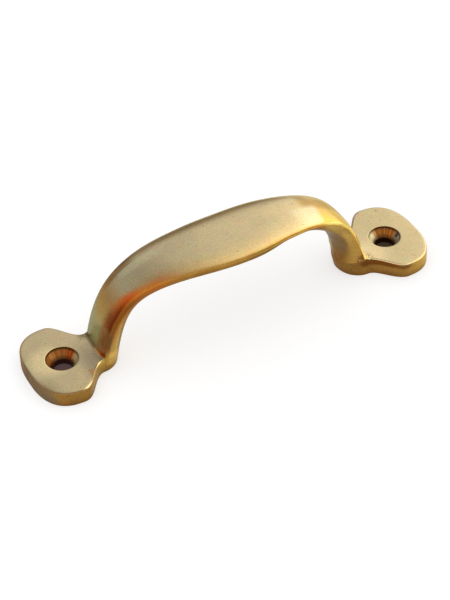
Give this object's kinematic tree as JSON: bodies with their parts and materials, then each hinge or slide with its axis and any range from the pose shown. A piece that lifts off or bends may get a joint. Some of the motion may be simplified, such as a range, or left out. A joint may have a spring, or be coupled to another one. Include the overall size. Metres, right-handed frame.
{
  "type": "bow handle",
  "caption": "Cast brass bow handle for a drawer, sash or cabinet door: flat lobed feet with countersunk screw holes and a wide, D-section bow for the fingers.",
  "frame": {"origin": "midway between the screw holes, on the flat underside of the feet", "axes": "+X along the handle through both screw holes, +Y across it, +Z out from the face that it is screwed to"},
  "size_m": [0.1138, 0.0258, 0.026],
  "materials": {
    "satin_brass": "cast brass, faces linished to a satin finish and unlacquered sides left brighter and warmer"
  },
  "bodies": {
    "root": {"bow_handle": "satin_brass"}
  },
  "joints": []
}
